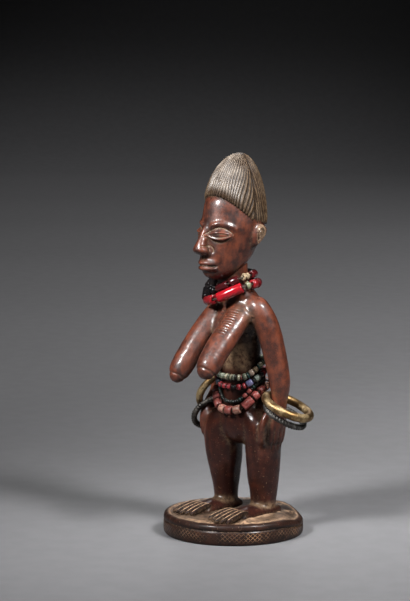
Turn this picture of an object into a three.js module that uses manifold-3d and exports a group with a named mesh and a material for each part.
// Ibeji figure: a standing woman carved with her round base from one block of wood, with
// loose metal bracelets on both wrists, a two-turn bead necklace and four strands of waist beads.
// Millimetres, +Z up. She faces -Y, her left side is +X, and the origin is at the middle of
// the base's underside.
import * as THREE from "three";
import { mergeVertices } from "three/addons/utils/BufferGeometryUtils.js";
import Module from "manifold-3d";

const wasm = await Module();
wasm.setup();

// Driving sizes of the carving
const FIGURE_HEIGHT = 250;
const BASE_DIAMETER = 98;
const BASE_HEIGHT = 15;
const BASE_EDGE_DROP = 4;
const FLUTE_COUNT = 24;
const FLUTE_DEPTH = 0.8;

// Driving sizes of the metal bracelets: outer diameter and bar thickness
const LEFT_BRASS = { outer: 39, bar: 6.2 };
const LEFT_IRON = { outer: 33.7, bar: 4.7 };
const RIGHT_BRASS = { outer: 40.6, bar: 5.4 };
const RIGHT_IRON = { outer: 32.5, bar: 4.6 };

// Driving sizes of the beads and their threads
const THREAD_DIAMETER = 1.3;
const BEAD_BORE = 2.1;
const NECK_BEAD = 6.6;
const UPPER_NECK_BEAD = 5.4;
const NECK_KNOT = 6;
const PINK_BEAD = 6;
const GREY_BEAD = { diameter: 4.7, length: 5.2 };
const MIXED_BEAD = { diameter: 4.5, length: 5.2 };
const DARK_BEAD = { diameter: 3, length: 4.6 };

// Clearance kept between two pieces that lie against each other
const CLEARANCE = 0.35;

// The carving is drawn in 250ths of the figure's height, from the base's top upwards
const UNIT = FIGURE_HEIGHT / 250;
const UP = new THREE.Vector3(0, 0, 1);

function spot(x, y, z) {
  return new THREE.Vector3(x * UNIT, y * UNIT, BASE_HEIGHT + z * UNIT);
}

// A station is [x, y, z, half width, half depth in front, half depth behind]. The squares of
// the half sizes are blended, so a form that closes to nothing ends round.
function blendOf(stations) {
  const centres = stations.map(([x, y, z]) => spot(x, y, z));
  const squares = stations.map(([, , , a, f, b]) => {
    return new THREE.Vector3((a * UNIT) ** 2, (f * UNIT) ** 2, (b * UNIT) ** 2);
  });
  const path = new THREE.CatmullRomCurve3(centres, false, "catmullrom", 0.5);
  const sizes = new THREE.CatmullRomCurve3(squares, false, "catmullrom", 0.5);
  return { path, sizes };
}

function halfSizes(blend, t) {
  const square = blend.sizes.getPoint(t);
  return ["x", "y", "z"].map((axis) => Math.sqrt(Math.max(square[axis], 0)));
}

// One rounded form through its stations. Level forms are cut by horizontal sections; the
// others by sections square to their path, with `across` as the direction of their width.
function loft(stations, { around = 12, along = 10, across = null } = {}) {
  const blend = blendOf(stations);
  const shape = new THREE.SphereGeometry(1, around, along);
  const points = shape.attributes.position;
  const p = new THREE.Vector3();
  for (let i = 0; i < points.count; i += 1) {
    p.fromBufferAttribute(points, i);
    const t = Math.acos(THREE.MathUtils.clamp(p.y, -1, 1)) / Math.PI;
    const ring = Math.hypot(p.x, p.z);
    const [a, f, b] = halfSizes(blend, t);
    const forward = across ? blend.path.getTangent(t) : UP;
    const side = (across ?? new THREE.Vector3(1, 0, 0)).clone();
    side.addScaledVector(forward, -side.dot(forward)).normalize();
    const out = new THREE.Vector3().crossVectors(forward, side);
    const at = blend.path.getPoint(t);
    if (ring > 1e-6) {
      at.addScaledVector(side, (a * p.x) / ring);
      at.addScaledVector(out, ((p.z > 0 ? b : f) * p.z) / ring);
    }
    points.setXYZ(i, at.x, at.y, at.z);
  }
  return shape;
}

function solidOf(geometry) {
  geometry.deleteAttribute("normal");
  geometry.deleteAttribute("uv");
  const merged = mergeVertices(geometry, 1e-4);
  const vertProperties = new Float32Array(merged.attributes.position.array);
  const triVerts = new Uint32Array(merged.index.array);
  return new wasm.Manifold(new wasm.Mesh({ numProp: 3, vertProperties, triVerts }));
}

function geometryOf(solid) {
  const { vertProperties, triVerts } = solid.getMesh();
  const geometry = new THREE.BufferGeometry();
  geometry.setAttribute("position", new THREE.BufferAttribute(vertProperties, 3));
  geometry.setIndex(new THREE.BufferAttribute(triVerts, 1));
  return geometry;
}

function joined(geometries) {
  return geometries.map(solidOf).reduce((whole, next) => whole.add(next));
}

function mirrored(stations) {
  return stations.map(([x, ...rest]) => [-x, ...rest]);
}

// Materials
function finish(color, roughness, metalness) {
  return new THREE.MeshStandardMaterial({ color, roughness, metalness });
}
const WOOD = finish(0x4a2318, 0.4, 0);
const BRASS = finish(0x9a7b3e, 0.4, 1);
const IRON = finish(0x4a4a48, 0.55, 1);
const THREAD = finish(0x2a211b, 0.9, 0);
const GREY_GLASS = finish(0x76796a, 0.45, 0);
const MIXED_GLASS = finish(0x8a2a36, 0.35, 0);
const DARK_GLASS = finish(0x1c2a26, 0.4, 0);
const PINK_GLASS = finish(0xa3574c, 0.5, 0);
const RED_GLASS = finish(0xa8161f, 0.3, 0);

const figure = new THREE.Group();

function addPiece(name, geometry, material) {
  const piece = new THREE.Mesh(geometry, material);
  piece.name = name;
  figure.add(piece);
  return piece;
}

// The base: a thick disc with a rounded rim, worn lower behind her left foot
function baseForm() {
  const radius = BASE_DIAMETER / 2;
  const outline = [
    [0, 0],
    [radius - 1.6, 0],
    [radius - 0.3, BASE_HEIGHT * 0.12],
    [radius, BASE_HEIGHT * 0.5],
    [radius - 0.6, BASE_HEIGHT * 0.82],
    [radius - 3, BASE_HEIGHT],
    [radius - 13, BASE_HEIGHT],
    [0, BASE_HEIGHT],
  ];
  const disc = new THREE.LatheGeometry(outline.map(([r, z]) => new THREE.Vector2(r, z)), 36);
  disc.rotateX(Math.PI / 2);
  const points = disc.attributes.position;
  for (let i = 0; i < points.count; i += 1) {
    const toward = (points.getX(i) + points.getY(i)) / Math.SQRT2;
    const z = points.getZ(i);
    const worn = THREE.MathUtils.smoothstep(toward, radius - 14, radius);
    points.setZ(i, z - worn * BASE_EDGE_DROP * (z / BASE_HEIGHT));
  }
  return disc;
}

// The trunk, from the crotch up through waist, chest and shoulders to the neck
const TRUNK = [
  [0, 9.5, 46, 0, 0, 0],
  [0, 9.5, 51, 17, 11, 12],
  [0, 9.5, 59, 23, 14, 16],
  [0, 9.5, 69, 22, 14.5, 18],
  [0, 9.3, 77, 17.6, 13.8, 16.5],
  [0, 8.6, 85, 16, 12.8, 13.2],
  [0, 7.8, 93, 15.8, 12.6, 11.4],
  [0, 7.4, 103, 15.8, 12.6, 11.2],
  [0, 7.2, 115, 16, 12.4, 11.4],
  [0, 6.4, 127, 17.6, 12.4, 11.8],
  [0, 4.6, 138, 20.5, 12.4, 12.4],
  [0, 3, 147, 22, 12, 12.6],
  [0, 1.4, 153.5, 18, 11, 12.4],
  [0, 0, 158.5, 12.6, 10.8, 11.4],
  [0, -1, 165, 10.8, 10.8, 10.8],
  [0, -1.4, 175, 10.4, 10.4, 10.4],
  [0, -1.4, 182, 0, 0, 0],
];

const LEFT_LEG = [
  [15.6, 14.2, -3, 0, 0, 0],
  [15.6, 14.2, 0, 8.6, 8.8, 8.8],
  [15.6, 14.2, 7, 8.9, 9, 9],
  [15.9, 14, 15, 9.6, 10, 10.2],
  [16.4, 13.2, 25, 10.9, 11.2, 11.5],
  [17.2, 12.4, 37, 12, 12, 12.3],
  [17.6, 11.6, 51, 12.6, 12.8, 13],
  [16, 11, 64, 11.6, 13.5, 14],
  [11, 10, 75, 7, 9, 10],
  [10, 10, 79, 0, 0, 0],
];
const RIGHT_LEG = [
  [-18.2, 9.4, -3, 0, 0, 0],
  [-18.2, 9.4, 0, 8, 8.2, 8.4],
  [-18.2, 9.4, 7, 8.2, 8.4, 8.6],
  [-18.2, 9.2, 15, 9, 9.4, 9.8],
  [-18.2, 8.6, 25, 10.8, 11, 11.4],
  [-18.4, 7.8, 37, 13, 12.8, 13],
  [-18.6, 7.4, 51, 13.6, 13.8, 13.6],
  [-16, 8, 64, 11.8, 14, 14.2],
  [-11, 9, 75, 7, 9, 10],
  [-10, 9, 79, 0, 0, 0],
];

const BUTTOCK = [
  [11, 18, 51, 0, 0, 0],
  [11.5, 18, 56, 10, 8, 9.5],
  [11.5, 18, 66, 12, 9, 12.5],
  [11, 17, 76, 9, 7, 9],
  [10.5, 16, 81, 0, 0, 0],
];

// Each arm with its hand, from inside the shoulder to the fingertips on the thigh. Its width
// runs from front to back.
const LEFT_ARM = [
  [14, 2.5, 147, 0, 0, 0],
  [18.5, 2.5, 146.5, 7.5, 7, 7],
  [22.6, 3.6, 142, 8.4, 8, 8.4],
  [26.4, 7.4, 131, 8.8, 8, 8.4],
  [28.8, 11, 116, 8.4, 7.6, 8],
  [30.4, 13.8, 101, 8, 7.4, 7.6],
  [31.2, 15, 91, 7.4, 6.8, 7],
  [31, 14.8, 82, 6.2, 4.8, 5.8],
  [30.6, 14.2, 75, 6.6, 4, 5],
  [29.4, 12.7, 66, 9.4, 5.4, 5.2],
  [28.6, 12.7, 57, 9.4, 5, 4.4],
  [27.7, 13.6, 49, 7.6, 4, 3],
  [27.3, 14.1, 45, 0, 0, 0],
];
const RIGHT_ARM = [
  [-14, 2.5, 147, 0, 0, 0],
  [-17.5, 3.5, 146.5, 7.5, 7, 7],
  [-20, 5, 142, 8.4, 8.4, 8],
  [-24.8, 8.4, 131, 8.8, 8.4, 8],
  [-28, 11, 116, 8.4, 8, 7.6],
  [-30.2, 13.2, 101, 8, 7.6, 7.4],
  [-31, 14.4, 91, 7.4, 7, 6.8],
  [-31, 14.4, 82, 6.2, 5.8, 5],
  [-31.6, 11.6, 75, 7, 5.4, 4.8],
  [-32, 8, 66, 9.4, 5.2, 5.4],
  [-31.8, 6.6, 57, 9.4, 4.4, 5],
  [-31.2, 7, 49, 7.6, 3, 4],
  [-30.8, 7.4, 45, 0, 0, 0],
];
const THUMB = [
  [30.2, 7.4, 75, 0, 0, 0],
  [29.6, 4, 71.5, 2, 2.4, 2.4],
  [29.2, 1.3, 65, 2.5, 2.8, 2.8],
  [28.4, 1.2, 56, 2.4, 2.8, 2.8],
  [27.5, 2.3, 50, 1.8, 2.2, 2.2],
  [27.2, 2.9, 47.5, 0, 0, 0],
];

const LEFT_BREAST = [
  [9, 3, 146, 0, 0, 0],
  [10, -1, 143, 8.6, 7.5, 7.5],
  [11, -9.2, 136, 9, 7.6, 8.4],
  [12.6, -20, 125.5, 9, 7.8, 8.8],
  [14.2, -29.6, 115, 9, 8, 9],
  [15.4, -36.2, 107.4, 8.6, 7.8, 8.6],
  [16, -40, 102.8, 6.8, 6.2, 6.8],
  [16.3, -43, 99, 0, 0, 0],
];
const RIGHT_BREAST = [
  [-9, 3, 146, 0, 0, 0],
  [-10, -1, 143, 8.6, 7.5, 7.5],
  [-11, -9.4, 135.3, 8.8, 7.6, 8.2],
  [-12.6, -19.8, 123.4, 8.6, 7.8, 8.4],
  [-14, -28.8, 111.4, 8.6, 7.8, 8.4],
  [-15, -35, 102.4, 8.2, 7.4, 8],
  [-15.5, -38.4, 97.2, 6.4, 5.8, 6.2],
  [-15.7, -41.4, 92.8, 0, 0, 0],
];

// Each foot runs from its heel to its toes, in low relief on the base
const FOOT = [
  [0, 11.6, 0, 0, 0, 0],
  [0, 9, 0.5, 6.5, 4, 5.4],
  [0, 0, 0.5, 9.8, 4, 6.4],
  [0, -10, 0, 9.8, 4, 6.2],
  [0, -22, -0.5, 9.8, 4, 4.8],
  [0, -36, -1, 10.4, 4, 3.6],
  [0, -46, -1, 10.2, 4, 2.6],
  [0, -52, -1, 8, 4, 1.8],
  [0, -54, -1, 0, 0, 0],
];

function footForms([ankleX, ankleY], turn) {
  const across = new THREE.Vector3(1, 0, 0);
  const move = ([x, y, z, ...sizes]) => [ankleX + x - turn * y, ankleY + y, z, ...sizes];
  const forms = [loft(FOOT.map(move), { around: 8, along: 7, across })];
  for (let toe = -2; toe <= 2; toe += 1) {
    const reach = 52.4 - Math.abs(toe) * 1.6;
    const ridge = [
      [toe * 3.2, -17, 3.4, 0, 0, 0],
      [toe * 3.8, -28, 3, 1.35, 1.4, 1.4],
      [toe * 4.1, -42, 1.7, 1.5, 1.4, 1.4],
      [toe * 4, -reach, 0.3, 0, 0, 0],
    ];
    forms.push(loft(ridge.map(move), { around: 4, along: 3, across }));
  }
  return forms;
}

// The head looks straight ahead
const SKULL = [
  [0, -12.6, 163, 0, 0, 0],
  [0, -12.6, 165.8, 7, 11.4, 8],
  [0, -9.4, 170.5, 12, 17.6, 9.6],
  [0, -5, 177, 15, 22.4, 14.6],
  [0, -2, 184, 17, 24.6, 16],
  [0, 0, 190, 18.2, 26, 17.6],
  [0, 1.2, 199, 19.5, 26.6, 21.2],
  [0, 2.2, 209, 18.6, 26, 21],
  [0, 3.2, 219, 17, 24.2, 18.4],
  [0, 4, 228, 11, 14, 13],
  [0, 4, 234, 0, 0, 0],
];

const NOSE = [
  [0, -27, 180.6, 0, 0, 0],
  [0, -28.8, 182, 5.4, 3.4, 3.4],
  [0, -30.4, 184.6, 6.2, 5, 5],
  [0, -30.2, 188.5, 4, 4.2, 4.2],
  [0, -28.2, 194, 2.7, 3, 3],
  [0, -26.4, 199, 2, 2, 2],
  [0, -25, 202, 0, 0, 0],
];

function lipForm(z, fullness) {
  const lip = [
    [-8.8, -22.6, z, 0, 0, 0],
    [-7.2, -24.4, z, 1.5, 1.3, 1.3],
    [0, -27.8, z, 2.6, fullness, fullness],
    [7.2, -24.4, z, 1.5, 1.3, 1.3],
    [8.8, -22.6, z, 0, 0, 0],
  ];
  return loft(lip, { around: 6, along: 6, across: new THREE.Vector3(0, 1, 0) });
}

function eyeForms(hand) {
  const ball = [
    [hand * 2.4, -25.2, 194.5, 0, 0, 0],
    [hand * 4.6, -24.4, 194.7, 2.4, 2.8, 2.4],
    [hand * 9.2, -21.8, 195, 3.2, 4.4, 3.6],
    [hand * 13.8, -17.2, 194.7, 2.4, 2.8, 2.4],
    [hand * 16, -14, 194.3, 0, 0, 0],
  ];
  const brow = [
    [hand * 1.6, -25.2, 198.4, 0, 0, 0],
    [hand * 4, -24.8, 201, 1.2, 1.2, 1.2],
    [hand * 9.6, -21.8, 203, 1.3, 1.3, 1.3],
    [hand * 15, -15.8, 200.8, 1.2, 1.2, 1.2],
    [hand * 17.6, -10.8, 197.6, 0, 0, 0],
  ];
  const across = new THREE.Vector3(0, 1, 0);
  return [loft(ball, { around: 6, along: 7, across }), loft(brow, { around: 4, along: 6, across })];
}

// An ear is an upright shell standing off the head at its back, hollowed in its outer face
function earForm(hand) {
  const shell = [
    [hand * 17.8, 2.4, 185.6, 0, 0, 0],
    [hand * 18.4, 3.2, 188, 2.2, 2.8, 2.8],
    [hand * 19.6, 5.8, 194, 2.8, 5.6, 5.6],
    [hand * 20, 7, 198.4, 2.6, 5.2, 5.4],
    [hand * 19.2, 6.8, 202, 0, 0, 0],
  ];
  const hollow = [
    [hand * 22, 5, 188.6, 0, 0, 0],
    [hand * 22.4, 6.2, 193.6, 1.5, 3.2, 3.4],
    [hand * 22.6, 7.2, 197.8, 1.5, 3.2, 3.2],
    [hand * 22, 7, 200.4, 0, 0, 0],
  ];
  const ear = solidOf(loft(shell, { around: 8, along: 5 }));
  return ear.subtract(solidOf(loft(hollow, { around: 6, along: 4 })));
}

// The hair rises from a hairline that is high over the brow and low behind the ears to a
// blunt crown, and is cut all round into upright locks
const HAIR = {
  side: 20,
  depth: 23.3,
  middle: 1.9,
  crown: 250,
  crownBack: 5.6,
  rimFront: 222.2,
  rimSide: 202.8,
  rimBack: 200.2,
};

function hairForm() {
  const rows = 9;
  const shape = new THREE.SphereGeometry(1, FLUTE_COUNT * 2, rows);
  const points = shape.attributes.position;
  const p = new THREE.Vector3();
  for (let i = 0; i < points.count; i += 1) {
    p.fromBufferAttribute(points, i);
    const row = Math.round((Math.acos(THREE.MathUtils.clamp(p.y, -1, 1)) / Math.PI) * rows);
    const angle = Math.atan2(p.z, p.x);
    const step = Math.max(0, (row - 1) / (rows - 1));
    const rise = Math.sin((step * Math.PI) / 2);
    const round = row === 0 ? 0 : Math.sqrt(Math.max(1 - rise ** 1.73, 0));
    const lock = Math.round(((angle + Math.PI) / Math.PI) * FLUTE_COUNT) % 2;
    const cut = lock * FLUTE_DEPTH * Math.min(1, round * 1.6);
    const front = -Math.sin(angle);
    const drop = front > 0 ? (HAIR.rimFront - HAIR.rimSide) * (1 - front) : HAIR.rimFront - HAIR.rimSide;
    const behind = (HAIR.rimSide - HAIR.rimBack) * Math.max(0, -front);
    const rim = row === 0 ? (HAIR.rimFront + HAIR.rimBack) / 2 : HAIR.rimFront - drop - behind;
    const lean = HAIR.middle + (HAIR.crownBack - HAIR.middle) * rise;
    const x = Math.cos(angle) * Math.max(0, HAIR.side * round - cut);
    const y = lean + Math.sin(angle) * Math.max(0, HAIR.depth * round - cut);
    const at = spot(x, y, rim + (HAIR.crown - rim) * rise);
    points.setXYZ(i, at.x, at.y, at.z);
  }
  return shape;
}

function headSolid() {
  const forms = [loft(SKULL, { around: 16, along: 11 }), loft(NOSE, { around: 6, along: 6 })];
  forms.push(lipForm(175.8, 1.9), lipForm(172, 2), ...eyeForms(1), ...eyeForms(-1), hairForm());
  return joined(forms).add(earForm(1)).add(earForm(-1));
}

function figureSolid() {
  const across = new THREE.Vector3(0, 1, 0);
  const wide = new THREE.Vector3(1, 0, 0);
  const forms = [
    baseForm(),
    loft(TRUNK, { around: 14, along: 16 }),
    loft(LEFT_LEG, { around: 10, along: 9 }),
    loft(RIGHT_LEG, { around: 10, along: 9 }),
    loft(BUTTOCK, { around: 8, along: 6 }),
    loft(mirrored(BUTTOCK), { around: 8, along: 6 }),
    loft(LEFT_ARM, { around: 8, along: 12, across }),
    loft(RIGHT_ARM, { around: 8, along: 12, across }),
    loft(THUMB, { around: 5, along: 5, across }),
    loft(mirrored(THUMB), { around: 5, along: 5, across }),
    loft(LEFT_BREAST, { around: 10, along: 8, across: wide }),
    loft(RIGHT_BREAST, { around: 10, along: 8, across: wide }),
    ...footForms([15.6, 14.2], 0.14),
    ...footForms([-18.2, 9.4], 0.1),
  ];
  return joined(forms).add(headSolid());
}

const carved = figureSolid();
addPiece("figure", geometryOf(carved), WOOD);

// A closed bar bent round a path of centres: one ring of `sides` corners at each centre
function closedBar(centres, radii, sides) {
  const shape = new THREE.TorusGeometry(2, 1, sides, centres.length);
  const points = shape.attributes.position;
  const count = centres.length;
  for (let i = 0; i < points.count; i += 1) {
    const step = i % (count + 1) % count;
    const corner = (Math.floor(i / (count + 1)) / sides) * 2 * Math.PI;
    const before = centres[(step + count - 1) % count];
    const after = centres[(step + 1) % count];
    const forward = after.clone().sub(before).normalize();
    const out = new THREE.Vector3().crossVectors(forward, UP).normalize();
    const rise = new THREE.Vector3().crossVectors(out, forward);
    const at = centres[step].clone();
    at.addScaledVector(out, Math.cos(corner) * radii[step]);
    at.addScaledVector(rise, Math.sin(corner) * radii[step]);
    points.setXYZ(i, at.x, at.y, at.z);
  }
  shape.deleteAttribute("normal");
  shape.deleteAttribute("uv");
  return mergeVertices(shape, 1e-4);
}

// Bracelets: bars bent to a ring, hanging loose and askew round the wrists. `seat` is where
// the outer edge lies nearest the hip, and the rest of the ring hangs outwards from there.
function bracelet(name, size, seat, axis, material) {
  const radius = size.outer / 2;
  const ring = new THREE.TorusGeometry(radius - size.bar / 2, size.bar / 2, 6, 16);
  const normal = new THREE.Vector3(...axis).normalize();
  const outward = new THREE.Vector3(Math.sign(seat[0]), 0, 0);
  outward.addScaledVector(normal, -outward.dot(normal)).normalize();
  const piece = addPiece(name, ring, material);
  piece.quaternion.setFromUnitVectors(UP, normal);
  piece.position.copy(spot(...seat)).addScaledVector(outward, radius);
}

bracelet("left_brass_bracelet", LEFT_BRASS, [19.4, 17.8, 83.3], [0.37, 0.18, 0.91], BRASS);
bracelet("left_iron_bracelet", LEFT_IRON, [20.8, 16.9, 76.9], [0.43, 0.22, 0.88], IRON);
bracelet("right_brass_bracelet", RIGHT_BRASS, [-18.5, 19.1, 96.1], [-0.79, 0.10, 0.60], BRASS);
bracelet("right_iron_bracelet", RIGHT_IRON, [-22.4, 13.8, 75.9], [-0.77, 0.22, 0.60], IRON);

// The trunk's skin at an angle round it (0 at her left, a quarter turn at her back) and at a
// height above the base's top, in 250ths
const TRUNK_BLEND = blendOf(TRUNK);

function skin(angle, height) {
  let low = 0;
  let high = 1;
  const level = spot(0, 0, height).z;
  for (let i = 0; i < 30; i += 1) {
    const middle = (low + high) / 2;
    if (TRUNK_BLEND.path.getPoint(middle).z < level) {
      low = middle;
    } else {
      high = middle;
    }
  }
  const [a, f, b] = halfSizes(TRUNK_BLEND, low);
  const at = TRUNK_BLEND.path.getPoint(low);
  const depth = Math.sin(angle) > 0 ? b : f;
  return new THREE.Vector3(at.x + a * Math.cos(angle), at.y + depth * Math.sin(angle), level);
}

function offSkin(angle, height, stand) {
  const step = 0.02;
  const along = skin(angle + step, height).sub(skin(angle - step, height));
  const up = skin(angle, height + 0.5).sub(skin(angle, height - 0.5));
  const out = new THREE.Vector3().crossVectors(along, up).normalize();
  return skin(angle, height).addScaledVector(out, stand);
}

// A waist strand lies level round her sides and back and sags in front: `low` is its height
// at the front, `from` and `to` are the degrees from the lowest point where it starts to rise
// and where it is up. It is followed from the front of her right hip round to her left.
const STRAND_START = THREE.MathUtils.degToRad(-120);

function waistLoop({ low, side, back, middle, from, to }, stand) {
  const centres = [];
  for (let i = 0; i < 180; i += 1) {
    const angle = STRAND_START + (i / 180) * 2 * Math.PI;
    const away = Math.abs(THREE.MathUtils.radToDeg(Math.atan2(
      Math.sin(angle - THREE.MathUtils.degToRad(middle)),
      Math.cos(angle - THREE.MathUtils.degToRad(middle)),
    )));
    const lift = THREE.MathUtils.smoothstep(away, from, to);
    const rear = Math.max(0, Math.sin(angle));
    const height = low + (side - low) * lift + (back - side) * rear * lift;
    centres.push(offSkin(angle, height, stand));
  }
  return centres;
}

// Points at even or given spacings along a closed run of centres
function pacedPoints(centres, shares) {
  const run = new THREE.CatmullRomCurve3(centres, true, "catmullrom", 0.5);
  run.arcLengthDivisions = 400;
  const whole = shares.reduce((sum, share) => sum + share, 0);
  const points = [];
  let passed = 0;
  for (const share of shares) {
    points.push(run.getPointAt(passed / whole));
    passed += share;
  }
  return points;
}

function lengthOf(centres) {
  return centres.reduce((sum, at, i) => sum + at.distanceTo(centres[(i + 1) % centres.length]), 0);
}

// A strand of small beads, fused on its thread: every bead is two full rings and the thread
// shows as a neck between it and the next
function fusedStrand(name, loop, bead, sides, material) {
  const stand = bead.diameter / 2 + CLEARANCE;
  const centres = waistLoop(loop, stand);
  const count = Math.round(lengthOf(centres) / bead.length);
  const joints = pacedPoints(centres, new Array(count).fill(1));
  const stations = [];
  const radii = [];
  joints.forEach((joint, i) => {
    const next = joints[(i + 1) % count];
    stations.push(joint, joint.clone().lerp(next, 0.14), joint.clone().lerp(next, 0.86));
    radii.push(THREAD_DIAMETER / 2, bead.diameter / 2, bead.diameter / 2);
  });
  addPiece(name, closedBar(stations, radii, sides), material);
}

fusedStrand(
  "waist_beads_grey",
  { low: 95.6, side: 104.8, back: 106.8, middle: -80, from: 30, to: 96 },
  GREY_BEAD,
  6,
  GREY_GLASS,
);
fusedStrand(
  "waist_beads_mixed",
  { low: 89, side: 96.6, back: 100, middle: -80, from: 24, to: 92 },
  MIXED_BEAD,
  6,
  MIXED_GLASS,
);
fusedStrand(
  "waist_beads_dark",
  { low: 77.8, side: 92.1, back: 95, middle: -80, from: 6, to: 86 },
  DARK_BEAD,
  5,
  DARK_GLASS,
);

// Bored beads strung on a thread of their own. Each is a straight tube between two joints of
// the thread, held back from them by what the bend there needs. A stretch with no bead is a
// knot of the thread.
function strungBeads(beadName, threadName, centres, recipe) {
  const joints = pacedPoints(centres, recipe.map((stretch) => stretch.length));
  const count = joints.length;
  const runs = joints.map((joint, i) => joints[(i + 1) % count].clone().sub(joint));
  const stations = [];
  const radii = [];
  let strung = 0;
  recipe.forEach((stretch, i) => {
    stations.push(joints[i]);
    radii.push(THREAD_DIAMETER / 2);
    if (stretch.knot) {
      stations.push(...[0.2, 0.4, 0.6, 0.8].map((share) => joints[i].clone().addScaledVector(runs[i], share)));
      radii.push(...[0.42, 0.5, 0.5, 0.42].map((share) => share * stretch.knot));
      return;
    }
    const radius = stretch.diameter / 2;
    const hold = (other) => {
      const bend = runs[i].angleTo(runs[other]);
      const wider = Math.max(radius, (recipe[other].diameter ?? recipe[other].knot) / 2);
      return wider * Math.tan(bend / 2) + CLEARANCE / 2;
    };
    const start = hold((i + count - 1) % count);
    const length = runs[i].length() - start - hold((i + 1) % count);
    const bore = BEAD_BORE / 2;
    const outline = [[bore, 0], [radius, 0], [radius, length], [bore, length], [bore, 0]];
    const tube = new THREE.LatheGeometry(outline.map(([r, y]) => new THREE.Vector2(r, y)), 6);
    const way = runs[i].clone().normalize();
    strung += 1;
    const piece = addPiece(`${beadName}_${String(strung).padStart(2, "0")}`, tube, stretch.material);
    piece.quaternion.setFromUnitVectors(new THREE.Vector3(0, 1, 0), way);
    piece.position.copy(joints[i]).addScaledVector(way, start);
  });
  addPiece(threadName, closedBar(stations, radii, 4), THREAD);
}

const PINK_LENGTHS = [7.4, 7, 7, 7.4, 11, 6, 7, 7.4, 7, 6.4, 7, 8, 7, 6.4, 7, 7.4, 6.6, 7];
const pink = (length) => ({ length, diameter: PINK_BEAD, material: PINK_GLASS });
strungBeads(
  "waist_bead_pink",
  "waist_thread",
  waistLoop({ low: 72, side: 87.2, back: 89.8, middle: -78.5, from: 13, to: 87 }, PINK_BEAD / 2 + CLEARANCE + 0.5),
  PINK_LENGTHS.map(pink),
);

// The necklace hangs in two turns round the foot of the neck, low on her right and in front,
// and riding up over her left shoulder. A stop is [degrees round, distance out, height].
function neckLoop(stops) {
  const points = stops.map(([degrees, out, height]) => {
    const angle = THREE.MathUtils.degToRad(degrees);
    return spot(out * Math.cos(angle), -1 + out * Math.sin(angle), height);
  });
  const run = new THREE.CatmullRomCurve3(points, true, "catmullrom", 0.5);
  return run.getPoints(120).slice(0, -1);
}

const LOW_TURN = [
  [-131, 18.4, 148],
  [-75, 19, 151.2],
  [-14, 19.6, 160],
  [39, 18.6, 160.4],
  [90, 18.2, 159.6],
  [140, 18.6, 160],
  [-176, 19.8, 160.4],
];
const HIGH_TURN = [
  [-131, 14.6, 155.6],
  [-90, 14.4, 156.8],
  [-27, 16, 164.6],
  [39, 15.6, 166.8],
  [90, 15.8, 166.4],
  [140, 15.8, 166.8],
  [-176, 15.6, 166.2],
];

const LOW_LENGTHS = [15.5, 22.5, 5.5, 7, 13.5, 12, 13, 11, 9, 12];
const HIGH_LENGTHS = [5, 5.5, 11.5, 9.5, 0, 12, 13, 12, 14, 13.8];
const KNOT_LENGTH = 9.5;

const red = (diameter) => (length) => ({ length, diameter, material: RED_GLASS });
const knot = { length: KNOT_LENGTH, knot: NECK_KNOT };
strungBeads(
  "necklace_bead_low",
  "necklace_thread_low",
  neckLoop(LOW_TURN),
  LOW_LENGTHS.map(red(NECK_BEAD)),
);
strungBeads(
  "necklace_bead_high",
  "necklace_thread_high",
  neckLoop(HIGH_TURN),
  HIGH_LENGTHS.map((length) => (length > 0 ? red(UPPER_NECK_BEAD)(length) : knot)),
);

export default figure;
